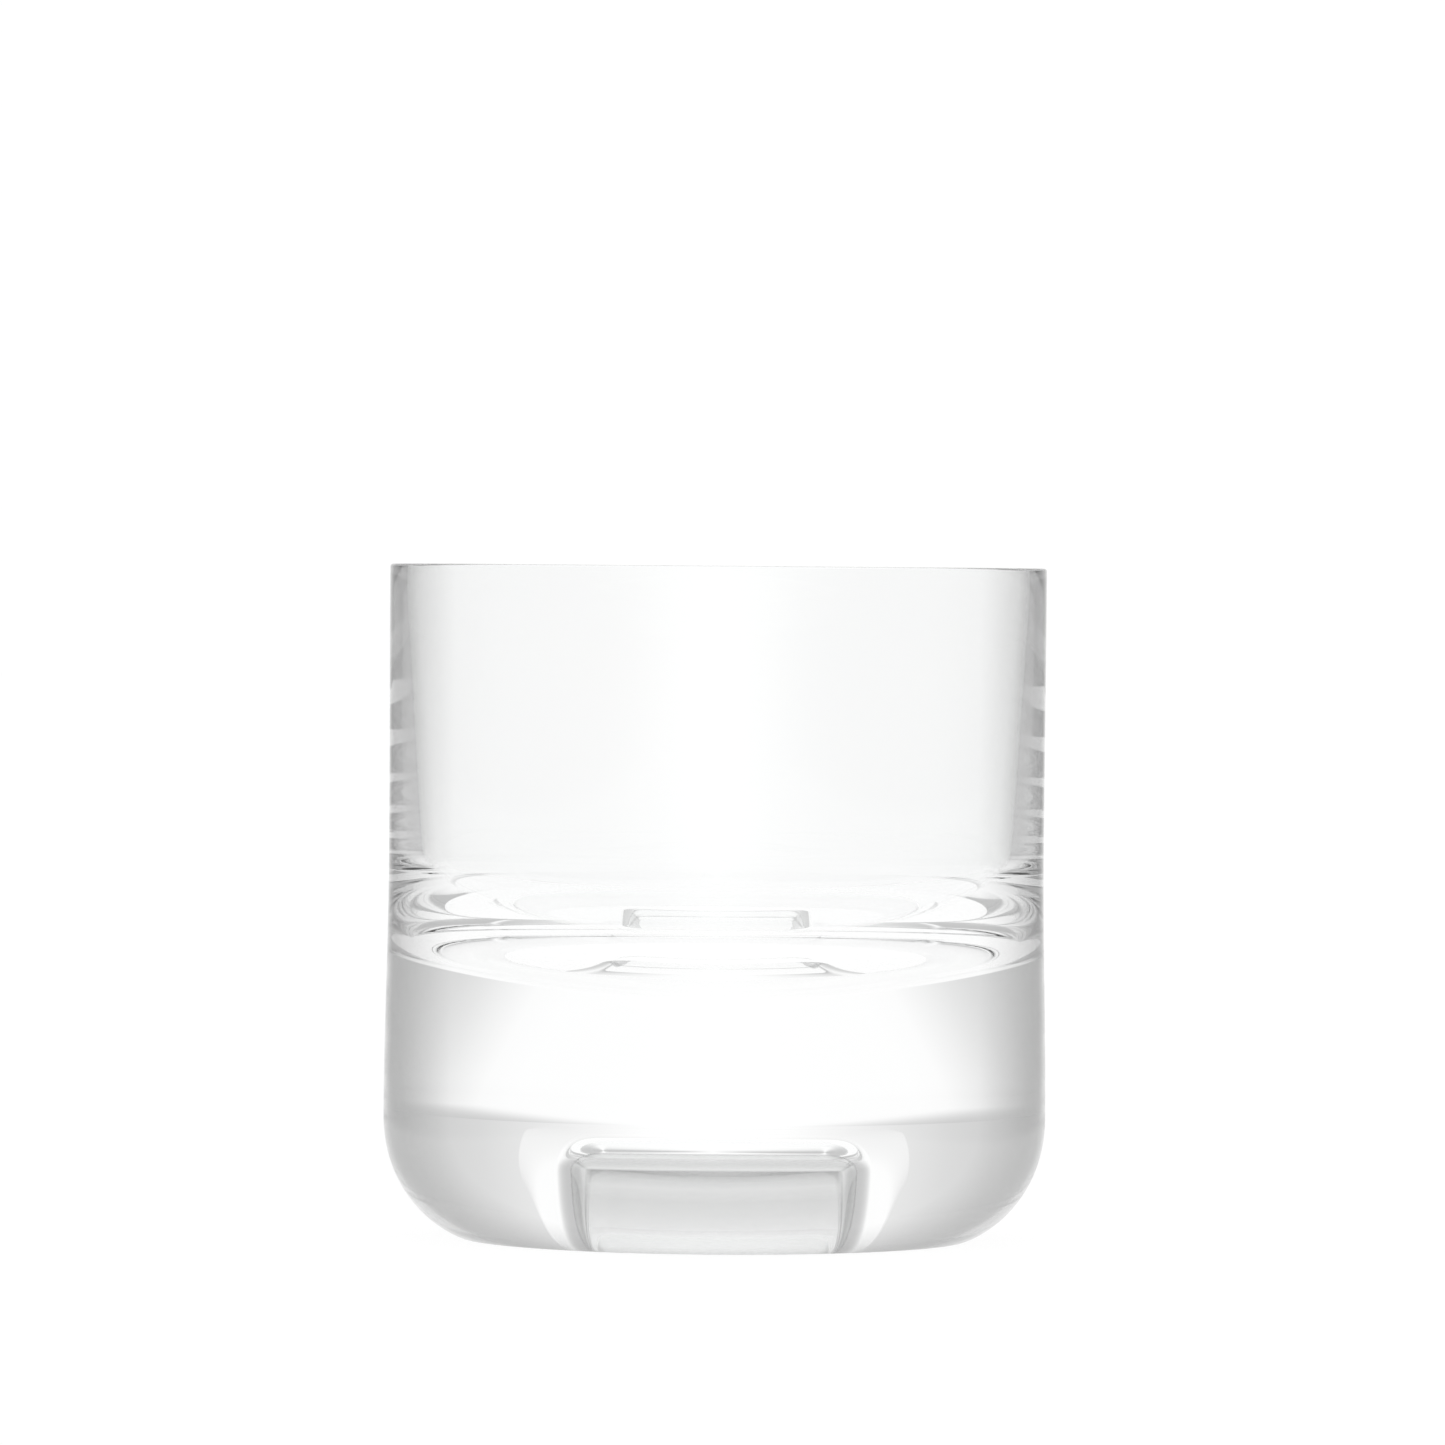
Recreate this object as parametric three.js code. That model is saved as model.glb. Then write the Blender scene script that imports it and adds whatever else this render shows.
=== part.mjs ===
// Whiskey tumbler in clear glass, built as a glassmaker builds it: a blown bowl, and a heavy
// base fused under it, with a square punt pressed up into its flat foot.
// Millimetres, +Z up, origin at the centre of the foot.

import * as THREE from 'three';

// Driving dimensions of the outside.
const HEIGHT = 82.8;
const BELLY_RADIUS = 40.8; // widest, at the top of the rounded bottom corner
const WAIST_RADIUS = 40.35; // the wall draws in very slightly half way up
const WAIST_HEIGHT = 47;
const RIM_RADIUS = 40.45;

// The bottom corner, an egg-like curve from the flat foot up to the belly.
const FOOT_RADIUS = 31.4; // outer edge of the flat foot
const FOOT_DEGREES = 20; // the curve leaves the foot at this angle
const CORNER_HEIGHT = 15; // where the curve turns into the wall
const FOOT_REACH = 3.7; // how far the curve holds its direction off the foot
const BELLY_REACH = 9; // and how far it holds its direction below the belly
const CORNER_STEPS = 11;

// The bowl's inside.
const RIM_WALL = 1.8; // thickness of the wall at the rim
const RIM_ROUNDING = 0.35; // fire-polished edges of the rim
const FLOOR_HEIGHT = 29.7; // floor of the bowl on the axis
const FLOOR_SPHERE = 88; // the floor is a shallow spherical dish
const HEEL_RADIUS = 16.5; // fillet between the floor and the wall
const HEEL_REACH = 36.5; // inner radius where the fillet ends and the wall starts

// The seam between the bowl and the base, a shallow dish of its own.
const SEAM_HEIGHT = 36; // on the outside wall
const BOWL_FLOOR_WALL = 3; // glass of the bowl under its floor, on the axis

// The punt, a square recess in the foot with round corners and a softened ceiling edge.
const PUNT_SIDE = 29.8;
const PUNT_HEIGHT = 13.8;
const PUNT_CORNER = 4.5; // its corners, seen from below
const CEILING_EDGE_WIDTH = 3.4; // the rounding between its walls and its ceiling
const CEILING_EDGE_HEIGHT = 2.2;
const MOUTH_ROUNDING = 0.5;

const FACETS = 72; // round the axis
const RADIUS_SLACK = 0.001;

const glass = { color: 0xf4f6f5, roughness: 0.02, metalness: 0, transparent: true, opacity: 0.35 };

// Points along an elliptical arc, both ends included. Angles are in degrees from +X.
function ellipse(centreX, centreY, radiusX, radiusY, fromDegrees, toDegrees, steps) {
  const points = [];
  for (let i = 0; i <= steps; i += 1) {
    const degrees = THREE.MathUtils.lerp(fromDegrees, toDegrees, i / steps);
    const angle = THREE.MathUtils.degToRad(degrees);
    const x = centreX + radiusX * Math.cos(angle);
    points.push(new THREE.Vector2(Math.max(x, 0), centreY + radiusY * Math.sin(angle)));
  }
  return points;
}

// Points along a circular arc.
function arc(centreX, centreY, radius, fromDegrees, toDegrees, steps) {
  return ellipse(centreX, centreY, radius, radius, fromDegrees, toDegrees, steps);
}

// Outside radius at a height: belly, waist and rim, joined by smooth steps.
function outsideRadius(height) {
  const { lerp, smoothstep } = THREE.MathUtils;
  if (height < WAIST_HEIGHT) {
    const rise = smoothstep(height, CORNER_HEIGHT, WAIST_HEIGHT);
    return lerp(BELLY_RADIUS, WAIST_RADIUS, rise);
  }
  const rise = smoothstep(height, WAIST_HEIGHT, HEIGHT);
  return lerp(WAIST_RADIUS, RIM_RADIUS, rise);
}

// Points up the outside wall, both ends included.
function outsideWall(fromHeight, toHeight, steps) {
  const points = [];
  for (let i = 0; i <= steps; i += 1) {
    const height = THREE.MathUtils.lerp(fromHeight, toHeight, i / steps);
    points.push(new THREE.Vector2(outsideRadius(height), height));
  }
  return points;
}

// The bottom corner, from the edge of the foot up to the belly.
function bottomCorner() {
  const angle = THREE.MathUtils.degToRad(FOOT_DEGREES);
  const leaveX = FOOT_RADIUS + FOOT_REACH * Math.cos(angle);
  const leaveY = FOOT_REACH * Math.sin(angle);
  return new THREE.CubicBezierCurve(
    new THREE.Vector2(FOOT_RADIUS, 0),
    new THREE.Vector2(leaveX, leaveY),
    new THREE.Vector2(BELLY_RADIUS, CORNER_HEIGHT - BELLY_REACH),
    new THREE.Vector2(BELLY_RADIUS, CORNER_HEIGHT),
  ).getPoints(CORNER_STEPS);
}

// The seam's dish, from the axis out to the wall. Bowl and base share these very points.
function seam() {
  const rimRadius = outsideRadius(SEAM_HEIGHT);
  const rise = SEAM_HEIGHT - (FLOOR_HEIGHT - BOWL_FLOOR_WALL);
  const sphere = (rimRadius ** 2 + rise ** 2) / (2 * rise);
  const edgeAngle = THREE.MathUtils.radToDeg(Math.asin(rimRadius / sphere));
  return arc(0, SEAM_HEIGHT - rise + sphere, sphere, -90, edgeAngle - 90, 6);
}

// The bowl's inside, from the rim down the tapered wall, round the heel and over the floor.
function bowlInside() {
  const heelCentreX = HEEL_REACH - HEEL_RADIUS;
  const toHeel = FLOOR_SPHERE - HEEL_RADIUS;
  const sphereHeight = FLOOR_HEIGHT + FLOOR_SPHERE;
  const heelCentreY = sphereHeight - Math.sqrt(toHeel ** 2 - heelCentreX ** 2);
  const meetAngle = THREE.MathUtils.radToDeg(Math.asin(heelCentreX / toHeel));
  const rimInside = RIM_RADIUS - RIM_WALL;
  const taper = Math.atan2(rimInside - HEEL_REACH, HEIGHT - heelCentreY);
  const taperDegrees = THREE.MathUtils.radToDeg(taper);
  return [
    ...arc(rimInside + RIM_ROUNDING, HEIGHT - RIM_ROUNDING, RIM_ROUNDING, 90, 180, 2),
    ...arc(heelCentreX, heelCentreY, HEEL_RADIUS, -taperDegrees, meetAngle - 90, 10),
    ...arc(0, sphereHeight, FLOOR_SPHERE, meetAngle - 90, -90, 5).slice(1),
  ];
}

// How far the punt reaches from the axis in a direction, when its plan is drawn in by an inset.
function puntReach(angle, inset) {
  const straight = PUNT_SIDE / 2 - PUNT_CORNER; // from the axis to the corner's centre
  const corner = PUNT_CORNER - inset;
  const wide = Math.max(Math.abs(Math.cos(angle)), Math.abs(Math.sin(angle)));
  const narrow = Math.sqrt(1 - wide ** 2);
  const toSide = (straight + corner) / wide;
  if (toSide * narrow <= straight) {
    return toSide;
  }
  const along = straight * (wide + narrow);
  return along + Math.sqrt(along ** 2 + corner ** 2 - 2 * straight ** 2);
}

// The lathe turns the punt round; this pushes each of its rings out to the square plan.
function squarePunt(geometry) {
  const position = geometry.getAttribute('position');
  const mouthRadius = PUNT_SIDE / 2 + MOUTH_ROUNDING;
  for (let i = 0; i < position.count; i += 1) {
    const x = position.getX(i);
    const y = position.getY(i);
    const radius = Math.hypot(x, y);
    const inPunt = radius < mouthRadius + RADIUS_SLACK && position.getZ(i) < PUNT_HEIGHT + RADIUS_SLACK;
    if (inPunt && radius > RADIUS_SLACK) {
      const stretch = puntReach(Math.atan2(y, x), PUNT_SIDE / 2 - radius) / radius;
      position.setXY(i, x * stretch, y * stretch);
    }
  }
}

// A closed solid of revolution about +Z. The outline runs round the glass anticlockwise.
function turned(outline) {
  const geometry = new THREE.LatheGeometry(outline, FACETS);
  geometry.rotateX(Math.PI / 2);
  return geometry;
}

function named(name, geometry) {
  const mesh = new THREE.Mesh(geometry, new THREE.MeshStandardMaterial(glass));
  mesh.name = name;
  return mesh;
}

function bowl() {
  const rimEdgeX = RIM_RADIUS - RIM_ROUNDING;
  return named('bowl', turned([
    ...seam(),
    ...outsideWall(SEAM_HEIGHT, HEIGHT - RIM_ROUNDING, 5).slice(1, -1),
    ...arc(rimEdgeX, HEIGHT - RIM_ROUNDING, RIM_ROUNDING, 0, 90, 2),
    ...bowlInside(),
  ]));
}

function heavyBase() {
  const half = PUNT_SIDE / 2;
  const edgeX = half - CEILING_EDGE_WIDTH;
  const edgeY = PUNT_HEIGHT - CEILING_EDGE_HEIGHT;
  const geometry = turned([
    new THREE.Vector2(0, PUNT_HEIGHT),
    ...ellipse(edgeX, edgeY, CEILING_EDGE_WIDTH, CEILING_EDGE_HEIGHT, 90, 0, 5),
    ...arc(half + MOUTH_ROUNDING, MOUTH_ROUNDING, MOUTH_ROUNDING, 180, 270, 2),
    ...bottomCorner(),
    ...outsideWall(CORNER_HEIGHT, SEAM_HEIGHT, 4).slice(1, -1),
    ...seam().reverse(),
  ]);
  squarePunt(geometry);
  return named('heavy_base', geometry);
}

const group = new THREE.Group();
group.add(bowl(), heavyBase());

export default group;
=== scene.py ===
"""Looks of the clear glass whiskey tumbler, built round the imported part. Metres, +Z up.

The bowl and the heavy base are fused hot, so they are shown as one seamless piece of glass:
any surface left between them would bend light that the real glass lets through.
"""
import math

import bmesh
import bpy
from mathutils import Matrix, Vector


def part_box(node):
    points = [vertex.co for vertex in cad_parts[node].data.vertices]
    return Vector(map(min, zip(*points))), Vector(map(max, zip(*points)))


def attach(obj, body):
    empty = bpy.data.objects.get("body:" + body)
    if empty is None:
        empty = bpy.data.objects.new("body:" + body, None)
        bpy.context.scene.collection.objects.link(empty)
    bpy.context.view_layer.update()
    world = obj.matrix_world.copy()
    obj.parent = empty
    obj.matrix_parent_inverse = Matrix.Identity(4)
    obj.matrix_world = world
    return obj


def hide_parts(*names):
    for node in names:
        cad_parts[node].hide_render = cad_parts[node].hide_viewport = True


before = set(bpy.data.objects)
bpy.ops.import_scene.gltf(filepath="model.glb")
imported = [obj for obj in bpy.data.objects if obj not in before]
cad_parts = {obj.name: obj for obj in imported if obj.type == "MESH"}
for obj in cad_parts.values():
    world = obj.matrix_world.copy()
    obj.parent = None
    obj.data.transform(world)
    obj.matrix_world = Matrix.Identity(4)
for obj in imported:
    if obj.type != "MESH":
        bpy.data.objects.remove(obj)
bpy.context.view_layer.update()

MM = 0.001

# ---------------------------------------------------------------- sizes, from the frame
bowl_low, bowl_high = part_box("bowl")
base_low, base_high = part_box("heavy_base")
HEIGHT = bowl_high.z
BELLY_RADIUS = base_high.x - 0.01 * MM
WAIST_RADIUS = BELLY_RADIUS - 0.45 * MM
WAIST_HEIGHT = 47 * MM
RIM_RADIUS = BELLY_RADIUS - 0.35 * MM

FOOT_RADIUS = 31.4 * MM
FOOT_ANGLE = math.radians(20)
FOOT_REACH = 3.7 * MM
CORNER_HEIGHT = 15 * MM
BELLY_REACH = 9 * MM

RIM_WALL = 1.8 * MM
RIM_ROUNDING = 0.35 * MM
FLOOR_HEIGHT = bowl_low.z + 3 * MM
FLOOR_SPHERE = 88 * MM
HEEL_RADIUS = 16.5 * MM
HEEL_REACH = 36.5 * MM

PUNT_HALF_SIDE = 14.9 * MM
PUNT_HEIGHT = 13.8 * MM
PUNT_CORNER = 4.5 * MM
CEILING_EDGE_WIDTH = 3.4 * MM
CEILING_EDGE_HEIGHT = 2.2 * MM
MOUTH_ROUNDING = 0.5 * MM
SUPPORT = 0.12 * MM  # a ring this close to a flat's edge keeps the flat's shading flat

AROUND = 352
CORNER_CROWDING = 0.3  # how strongly the steps round the axis crowd towards the punt's corners


# ---------------------------------------------------------------- the glass
def ellipse(centre_x, centre_y, radius_x, radius_y, from_angle, to_angle, steps):
    """Points along an elliptical arc, both ends included, as (radius, height)."""
    points = []
    for i in range(steps + 1):
        angle = math.radians(from_angle + (to_angle - from_angle) * i / steps)
        points.append((centre_x + radius_x * math.cos(angle), centre_y + radius_y * math.sin(angle)))
    return points


def arc(centre_x, centre_y, radius, from_angle, to_angle, steps):
    return ellipse(centre_x, centre_y, radius, radius, from_angle, to_angle, steps)


def straight(start, end, steps):
    """Points strictly between two ends."""
    return [
        tuple(a + (b - a) * i / steps for a, b in zip(start, end))
        for i in range(1, steps)
    ]


def bezier(a, b, c, d, steps):
    points = []
    for i in range(steps + 1):
        t = i / steps
        weights = ((1 - t) ** 3, 3 * (1 - t) ** 2 * t, 3 * (1 - t) * t * t, t ** 3)
        points.append(tuple(sum(w * p[k] for w, p in zip(weights, (a, b, c, d))) for k in (0, 1)))
    return points


def smooth(value, low, high):
    t = min(max((value - low) / (high - low), 0), 1)
    return t * t * (3 - 2 * t)


def outside_radius(height):
    """Belly, waist and rim, joined by smooth steps."""
    if height < WAIST_HEIGHT:
        rise = smooth(height, CORNER_HEIGHT, WAIST_HEIGHT)
        return BELLY_RADIUS + (WAIST_RADIUS - BELLY_RADIUS) * rise
    rise = smooth(height, WAIST_HEIGHT, HEIGHT)
    return WAIST_RADIUS + (RIM_RADIUS - WAIST_RADIUS) * rise


def punt_outline():
    """From the ceiling's centre down the punt's wall to the foot, as if the punt were round."""
    edge_x = PUNT_HALF_SIDE - CEILING_EDGE_WIDTH
    edge_y = PUNT_HEIGHT - CEILING_EDGE_HEIGHT
    mouth = PUNT_HALF_SIDE + MOUTH_ROUNDING
    return [
        (0, PUNT_HEIGHT),
        *straight((0, PUNT_HEIGHT), (edge_x, PUNT_HEIGHT), 4),
        (edge_x - SUPPORT, PUNT_HEIGHT),
        *ellipse(edge_x, edge_y, CEILING_EDGE_WIDTH, CEILING_EDGE_HEIGHT, 90, 0, 24),
        *straight((PUNT_HALF_SIDE, edge_y), (PUNT_HALF_SIDE, MOUTH_ROUNDING), 8),
        *arc(mouth, MOUTH_ROUNDING, MOUTH_ROUNDING, 180, 270, 8),
    ]


def outside_outline():
    """From the flat foot round the bottom corner and up to the rim."""
    leave = (
        FOOT_RADIUS + FOOT_REACH * math.cos(FOOT_ANGLE),
        FOOT_REACH * math.sin(FOOT_ANGLE),
    )
    arrive = (BELLY_RADIUS, CORNER_HEIGHT - BELLY_REACH)
    top = HEIGHT - RIM_ROUNDING
    wall_steps = 28
    wall = [CORNER_HEIGHT + (top - CORNER_HEIGHT) * i / wall_steps for i in range(1, wall_steps)]
    return [
        (FOOT_RADIUS - 2 * SUPPORT, 0),
        *bezier((FOOT_RADIUS, 0), leave, arrive, (BELLY_RADIUS, CORNER_HEIGHT), 96),
        *[(outside_radius(height), height) for height in wall],
        *arc(RIM_RADIUS - RIM_ROUNDING, top, RIM_ROUNDING, 0, 90, 8),
    ]


def inside_outline():
    """From the rim down the tapered wall, round the heel and over the dished floor."""
    inside = RIM_RADIUS - RIM_WALL
    heel_x = HEEL_REACH - HEEL_RADIUS
    to_heel = FLOOR_SPHERE - HEEL_RADIUS
    sphere_y = FLOOR_HEIGHT + FLOOR_SPHERE
    heel_y = sphere_y - math.sqrt(to_heel ** 2 - heel_x ** 2)
    meet = math.degrees(math.asin(heel_x / to_heel))
    taper = math.degrees(math.atan2(inside - HEEL_REACH, HEIGHT - heel_y))
    heel = arc(heel_x, heel_y, HEEL_RADIUS, -taper, meet - 90, 48)
    return [
        *arc(inside + RIM_ROUNDING, HEIGHT - RIM_ROUNDING, RIM_ROUNDING, 90, 180, 8),
        *straight((inside, HEIGHT - RIM_ROUNDING), heel[0], 8),
        *heel,
        *arc(0, sphere_y, FLOOR_SPHERE, meet - 90, -90, 30)[1:-1],
        (0, FLOOR_HEIGHT),
    ]


def punt_reach(angle, inset):
    """How far the square punt reaches from the axis, when its plan is drawn in by an inset."""
    side = PUNT_HALF_SIDE - PUNT_CORNER
    corner = PUNT_CORNER - inset
    wide = max(abs(math.cos(angle)), abs(math.sin(angle)))
    narrow = math.sqrt(max(1 - wide * wide, 0))
    to_side = (side + corner) / wide
    if to_side * narrow <= side:
        return to_side
    along = side * (wide + narrow)
    return along + math.sqrt(along * along + corner * corner - 2 * side * side)


def ring(radius, height, in_punt):
    """One ring of points round the axis. In the punt a ring follows the square plan."""
    points = []
    flat = PUNT_HALF_SIDE - CEILING_EDGE_WIDTH
    for i in range(AROUND):
        turn = 2 * math.pi * i / AROUND
        angle = turn + CORNER_CROWDING * math.sin(4 * turn) / 4
        reach = radius
        if in_punt and radius < flat:
            reach = punt_reach(angle, CEILING_EDGE_WIDTH) * radius / flat
        elif in_punt:
            reach = punt_reach(angle, PUNT_HALF_SIDE - radius)
        points.append(Vector((reach * math.cos(angle), reach * math.sin(angle), height)))
    return points


def glass_mesh():
    """The whole tumbler as one closed skin, from the punt's ceiling round to the bowl's floor."""
    punt = punt_outline()
    rest = outside_outline() + inside_outline()
    mesh = bmesh.new()
    rows = []
    for number, (radius, height) in enumerate(punt + rest):
        if radius <= 0:
            rows.append([mesh.verts.new((0, 0, height))])
            continue
        row = ring(radius, height, number < len(punt))
        rows.append([mesh.verts.new(point) for point in row])
    for low, high in zip(rows, rows[1:]):
        for i in range(AROUND):
            j = (i + 1) % AROUND
            if len(low) == 1:
                mesh.faces.new((low[0], high[j], high[i]))
            elif len(high) == 1:
                mesh.faces.new((low[i], low[j], high[0]))
            else:
                mesh.faces.new((low[i], low[j], high[j], high[i]))
    for face in mesh.faces:
        face.smooth = True
    bmesh.ops.recalc_face_normals(mesh, faces=mesh.faces)
    data = bpy.data.meshes.new("tumbler_glass")
    mesh.to_mesh(data)
    mesh.free()
    return data


# ---------------------------------------------------------------- node helpers
def node(tree, kind, **values):
    """A new node. Values name its inputs, or its own settings where it has no such input."""
    made = tree.nodes.new(kind)
    for name, value in values.items():
        label = name.replace("_", " ")
        if label in made.inputs:
            made.inputs[label].default_value = value
        else:
            setattr(made, name, value)
    return made


def calculate(tree, operation, first, second=None):
    """The output of a math node. Its inputs are numbers or other nodes' outputs."""
    made = node(tree, "ShaderNodeMath", operation=operation)
    for socket, value in zip(made.inputs, (first, second)):
        if isinstance(value, (int, float)):
            socket.default_value = value
        elif value is not None:
            tree.links.new(value, socket)
    return made.outputs[0]


def spread(tree, value, low, high, to_low=0.0, to_high=1.0):
    """A map range, held at both ends."""
    made = node(tree, "ShaderNodeMapRange", clamp=True)
    made.inputs["From Min"].default_value = low
    made.inputs["From Max"].default_value = high
    made.inputs["To Min"].default_value = to_low
    made.inputs["To Max"].default_value = to_high
    tree.links.new(value, made.inputs["Value"])
    return made.outputs["Result"]


def gradient(tree, value, stops):
    """Grey that follows (place, brightness) stops, between the first place and the last."""
    low, high = stops[0][0], stops[-1][0]
    made = node(tree, "ShaderNodeValToRGB")
    elements = made.color_ramp.elements
    while len(elements) < len(stops):
        elements.new(0.5)
    for element, (place, bright) in zip(elements, stops):
        element.position = (place - low) / (high - low)
        element.color = (bright, bright, bright, 1)
    tree.links.new(spread(tree, value, low, high), made.inputs["Fac"])
    return made.outputs["Color"]


def material(name):
    made = bpy.data.materials.new(name)
    made.use_nodes = True
    made.node_tree.nodes.clear()
    return made


# ---------------------------------------------------------------- glass material
GLASS_IOR = 1.5
RIPPLE_SCALE = 45.0
RIPPLE_STRENGTH = 0.1
RIPPLE_HEIGHT = 0.2 * MM
CAST_SCALE = 30.0
FAINT_CAST = (0.985, 0.992, 0.99, 1)
NO_CAST = (1.0, 1.0, 1.0, 1)

# Painted shade on the glass: how much light it lets through, from square on (0) to glancing (1). It stands
# in for the dark surroundings that a glancing look through real glass picks up, not for anything in the
# glass.
EDGE_PAINTED_SHADE = [(0, 1.0), (0.4, 1.0), (0.6, 0.6), (0.8, 0.25), (1, 0.2)]
OUTER_SKIN = RIM_RADIUS - 1.3 * MM  # the painted edge shade shows from here outwards, and round the punt
OUTER_SKIN_SOFTNESS = 0.3 * MM
PAINTED_SHADE_TOP = 18 * MM  # inside that radius the painted shade stops at this height, clear of the bowl's floor
PAINTED_SHADE_FADE = 4 * MM

SCUFF_SCALE = 900.0
SCUFF_LOW = 0.05 * MM  # the foot is scuffed up to here
SCUFF_HIGH = 0.3 * MM  # and clean from here
SCUFF_ROUGHNESS = 0.3


def noise(tree, place, scale, detail):
    made = node(tree, "ShaderNodeTexNoise", Scale=scale, Detail=detail)
    tree.links.new(place, made.inputs["Vector"])
    return made.outputs["Fac"]


def separate(tree, place):
    """The X, Y and Z of a vector."""
    made = node(tree, "ShaderNodeSeparateXYZ")
    tree.links.new(place, made.inputs["Vector"])
    return made.outputs


def ripple(tree, place):
    """The slow unevenness of blown glass, as a normal."""
    bump = node(tree, "ShaderNodeBump", Strength=RIPPLE_STRENGTH, Distance=RIPPLE_HEIGHT)
    tree.links.new(noise(tree, place, RIPPLE_SCALE, 1.0), bump.inputs["Height"])
    return bump.outputs["Normal"]


def faint_cast(tree, place):
    """Very slight colour that comes and goes through the glass."""
    ramp = node(tree, "ShaderNodeValToRGB")
    ramp.color_ramp.elements[0].color = FAINT_CAST
    ramp.color_ramp.elements[1].color = NO_CAST
    tree.links.new(noise(tree, place, CAST_SCALE, 0.0), ramp.inputs["Fac"])
    return ramp.outputs["Color"]


def painted_edge_shade(tree, place, colour):
    """The colour, with painted shade where the outer skin or the punt is seen at a glancing angle."""
    x, y, z = separate(tree, place)
    squares = calculate(tree, "ADD", calculate(tree, "POWER", x, 2), calculate(tree, "POWER", y, 2))
    radius = calculate(tree, "SQRT", squares)
    outer = spread(tree, radius, OUTER_SKIN - OUTER_SKIN_SOFTNESS, OUTER_SKIN + OUTER_SKIN_SOFTNESS)
    under = spread(tree, z, PAINTED_SHADE_TOP, PAINTED_SHADE_TOP + PAINTED_SHADE_FADE, 1.0, 0.0)
    facing = node(tree, "ShaderNodeLayerWeight", Blend=0.5).outputs["Facing"]
    mix = node(tree, "ShaderNodeMix", data_type="RGBA", blend_type="MULTIPLY")
    factor, base, painted_shade = mix.inputs[0], mix.inputs[6], mix.inputs[7]
    tree.links.new(calculate(tree, "MAXIMUM", outer, under), factor)
    tree.links.new(colour, base)
    tree.links.new(gradient(tree, facing, EDGE_PAINTED_SHADE), painted_shade)
    return mix.outputs[2]


def scuffs(tree, place):
    """Roughness of the foot, where it has slid on tables."""
    height = separate(tree, place)["Z"]
    on_foot = spread(tree, height, SCUFF_LOW, SCUFF_HIGH, 1.0, 0.0)
    worn = spread(tree, noise(tree, place, SCUFF_SCALE, 4.0), 0.5, 0.7, 0.0, SCUFF_ROUGHNESS)
    return calculate(tree, "MULTIPLY", on_foot, worn)


def clear_glass():
    """Colourless glass with a hand-blown ripple, a foot scuffed by tables, and painted shade at its
    glancing edges.
    """
    made = material("clear_glass")
    tree = made.node_tree
    place = node(tree, "ShaderNodeTexCoord").outputs["Object"]
    shader = node(tree, "ShaderNodeBsdfPrincipled", IOR=GLASS_IOR, Transmission_Weight=1.0)
    tree.links.new(ripple(tree, place), shader.inputs["Normal"])
    # the base colour carries painted shade where the glass is seen at a glancing angle
    tree.links.new(painted_edge_shade(tree, place, faint_cast(tree, place)), shader.inputs["Base Color"])
    tree.links.new(scuffs(tree, place), shader.inputs["Roughness"])
    output = node(tree, "ShaderNodeOutputMaterial")
    tree.links.new(shader.outputs["BSDF"], output.inputs["Surface"])
    return made


def tumbler():
    glass = bpy.data.objects.new("tumbler_glass", glass_mesh())
    bpy.context.scene.collection.objects.link(glass)
    glass.data.materials.append(clear_glass())
    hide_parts("bowl", "heavy_base")
    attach(glass, "root")


# ---------------------------------------------------------------- studio
# Brightness of the white cloth against the angle off its middle line, in degrees.
CLOTH = [(0, 1.02), (8, 1.0), (16, 0.9), (24, 0.79), (32, 0.7), (45, 0.61), (60, 0.56), (90, 0.54)]
STRIP_HALF_WIDTH = 92 * MM  # the floor is fully bright this far from the middle line
STRIP_WIDENING = 0.072  # and this much further for each metre along it
FLOOR_FALLOFF = 2.2  # the floor fades this much faster than the cloth behind it
FLOOR_SOFTNESS = 120 * MM  # a larger value fades more gently beside the glass
FLOOR_GLOW = 0.93  # the floor's own light, which its matt surface tops up
FLOOR_MATT = (0.1, 0.1, 0.1, 1)
FLOOR_REACH = 6.0  # metres from the glass to each edge


def cloth_brightness(tree, place, strip=0.0, widening=0.0, falloff=1.0, softness=0.0):
    """Brightest along the Y axis, front and back, and falling off to both sides of a strip."""
    x, y, _ = separate(tree, place)
    ahead = calculate(tree, "ABSOLUTE", y)
    edge = calculate(tree, "ADD", calculate(tree, "MULTIPLY", ahead, widening), strip)
    beside = calculate(tree, "SUBTRACT", calculate(tree, "ABSOLUTE", x), edge)
    beside = calculate(tree, "MULTIPLY", calculate(tree, "MAXIMUM", beside, 0.0), falloff)
    turn = calculate(tree, "ARCTAN2", beside, calculate(tree, "ADD", ahead, softness))
    return gradient(tree, calculate(tree, "DEGREES", turn), CLOTH)


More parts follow.
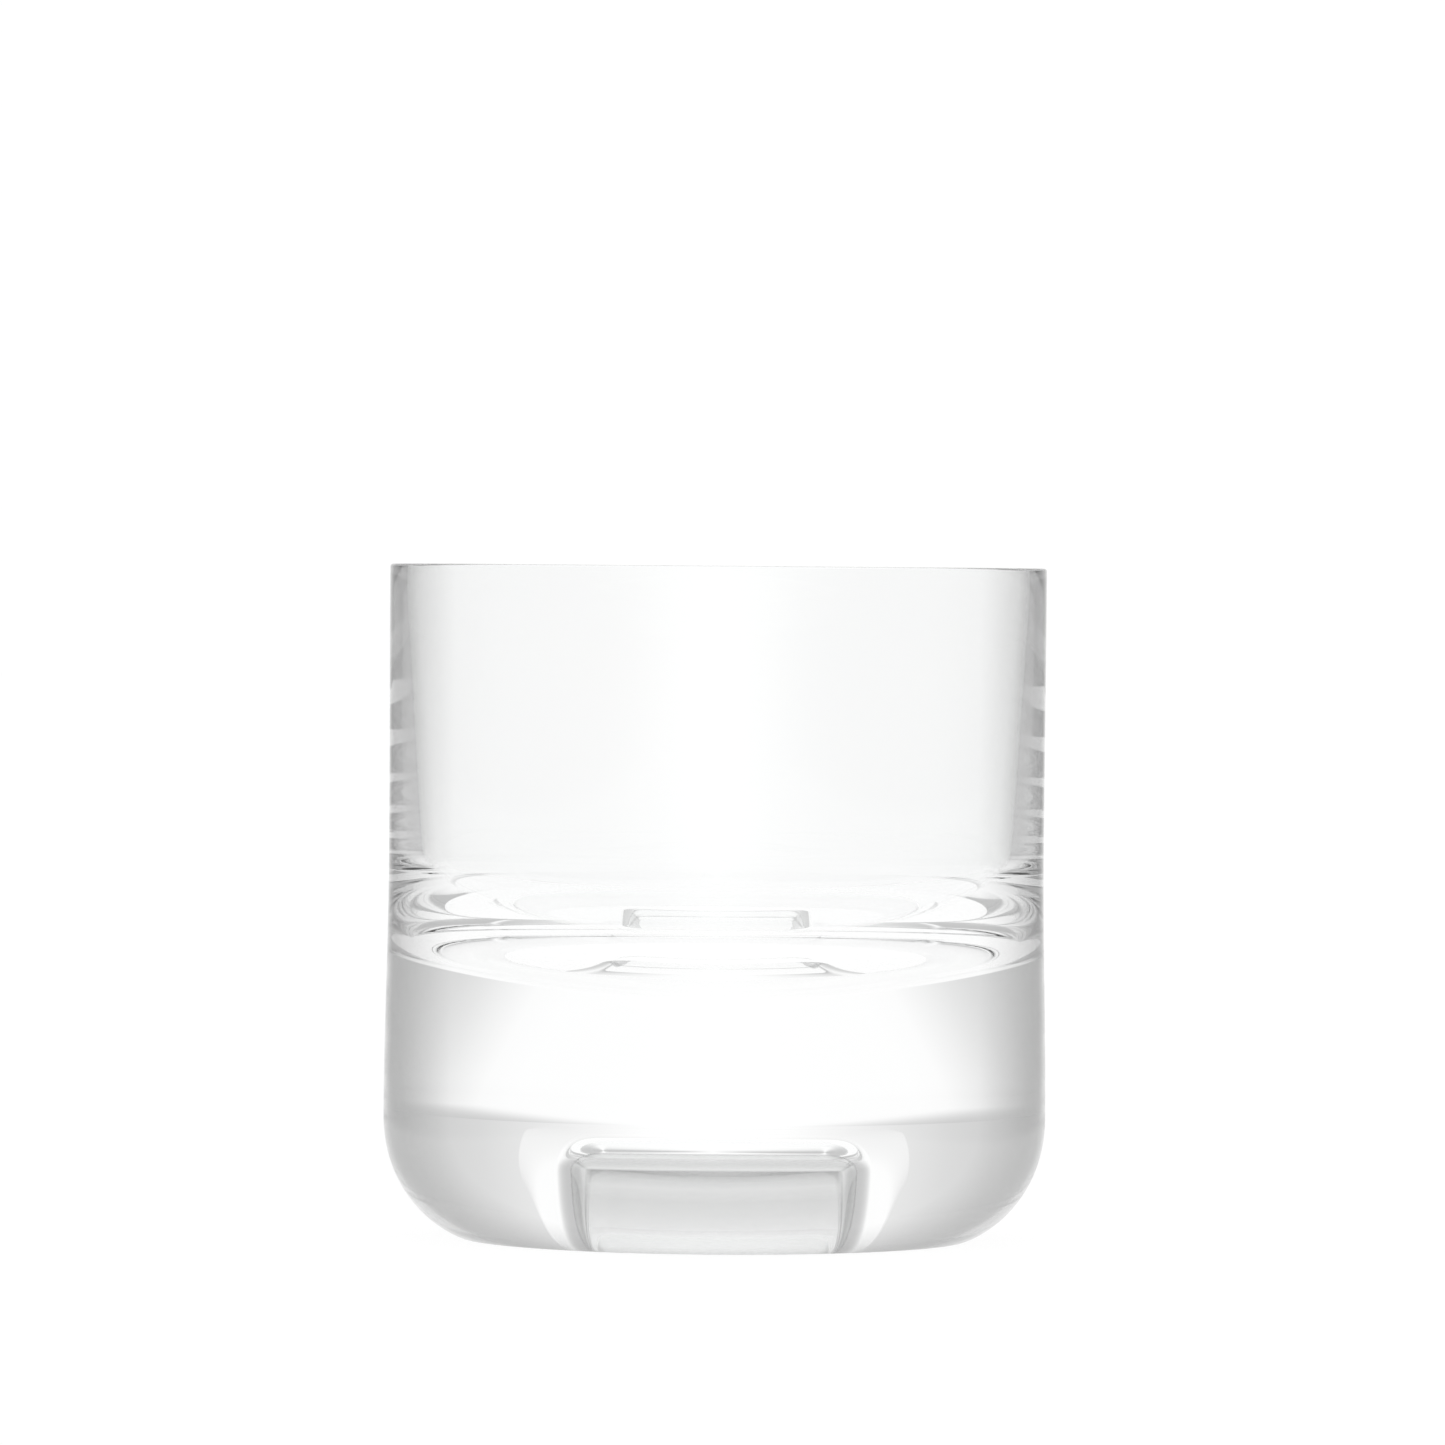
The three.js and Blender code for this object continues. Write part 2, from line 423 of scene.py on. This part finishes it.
def floor():
    """A pale cloth floor that glows with painted light, like a light table: bright along a strip through
    the glass and fading to painted shade on both sides, with a little diffuse of its own.
    """
    finish = material("pale_floor")
    tree = finish.node_tree
    place = node(tree, "ShaderNodeTexCoord").outputs["Object"]
    light = node(tree, "ShaderNodeEmission", Strength=FLOOR_GLOW)
    # painted light on the floor: bright along the middle strip, with painted shade fading to both sides
    bright = cloth_brightness(tree, place, STRIP_HALF_WIDTH, STRIP_WIDENING, FLOOR_FALLOFF, FLOOR_SOFTNESS)
    tree.links.new(bright, light.inputs["Color"])
    matt = node(tree, "ShaderNodeBsdfDiffuse", Color=FLOOR_MATT)
    both = node(tree, "ShaderNodeAddShader")
    output = node(tree, "ShaderNodeOutputMaterial")
    tree.links.new(light.outputs[0], both.inputs[0])
    tree.links.new(matt.outputs[0], both.inputs[1])
    tree.links.new(both.outputs[0], output.inputs["Surface"])
    reach = FLOOR_REACH
    corners = [(-reach, -reach, 0), (reach, -reach, 0), (reach, reach, 0), (-reach, reach, 0)]
    sheet = bpy.data.meshes.new("pale_floor")
    sheet.from_pydata(corners, [], [(0, 1, 2, 3)])
    sheet.materials.append(finish)
    laid = bpy.data.objects.new("pale_floor", sheet)
    bpy.context.scene.collection.objects.link(laid)


def studio():
    """Soft light from the same cloth, hung all round."""
    world = bpy.data.worlds.new("studio")
    bpy.context.scene.world = world
    world.use_nodes = True
    tree = world.node_tree
    tree.nodes.clear()
    direction = node(tree, "ShaderNodeTexCoord").outputs["Generated"]
    light = node(tree, "ShaderNodeBackground")
    tree.links.new(cloth_brightness(tree, direction), light.inputs["Color"])
    output = node(tree, "ShaderNodeOutputWorld")
    tree.links.new(light.outputs[0], output.inputs["Surface"])


# ---------------------------------------------------------------- camera
CAMERA_DISTANCE = 1250 * MM
AIM_ASIDE = 0.62 * MM
AIM_BELOW_RIM = 19.3 * MM
FRAME_WIDTH = 178 * MM  # across the picture at the glass
ROLL = math.radians(0.46)
BOUNCES = 32


def camera():
    """Level with the rim, looking a little below it."""
    eye = Vector((0, -CAMERA_DISTANCE, HEIGHT))
    aim = Vector((AIM_ASIDE, 0, HEIGHT - AIM_BELOW_RIM))
    data = bpy.data.cameras.new("camera")
    data.sensor_width = 36
    data.lens = data.sensor_width * CAMERA_DISTANCE / FRAME_WIDTH
    data.clip_end = 20
    made = bpy.data.objects.new("camera", data)
    bpy.context.scene.collection.objects.link(made)
    turn = (aim - eye).to_track_quat("-Z", "Y").to_matrix().to_4x4()
    made.matrix_world = Matrix.Translation(eye) @ turn @ Matrix.Rotation(ROLL, 4, "Z")
    bpy.context.scene.camera = made


def light_paths():
    """Light crosses many glass surfaces before it reaches the eye."""
    cycles = bpy.context.scene.cycles
    cycles.max_bounces = BOUNCES
    cycles.transmission_bounces = BOUNCES
    cycles.glossy_bounces = BOUNCES // 2
    cycles.transparent_max_bounces = BOUNCES
    bpy.context.scene.view_settings.view_transform = "Standard"


tumbler()
floor()
studio()
camera()
light_paths()
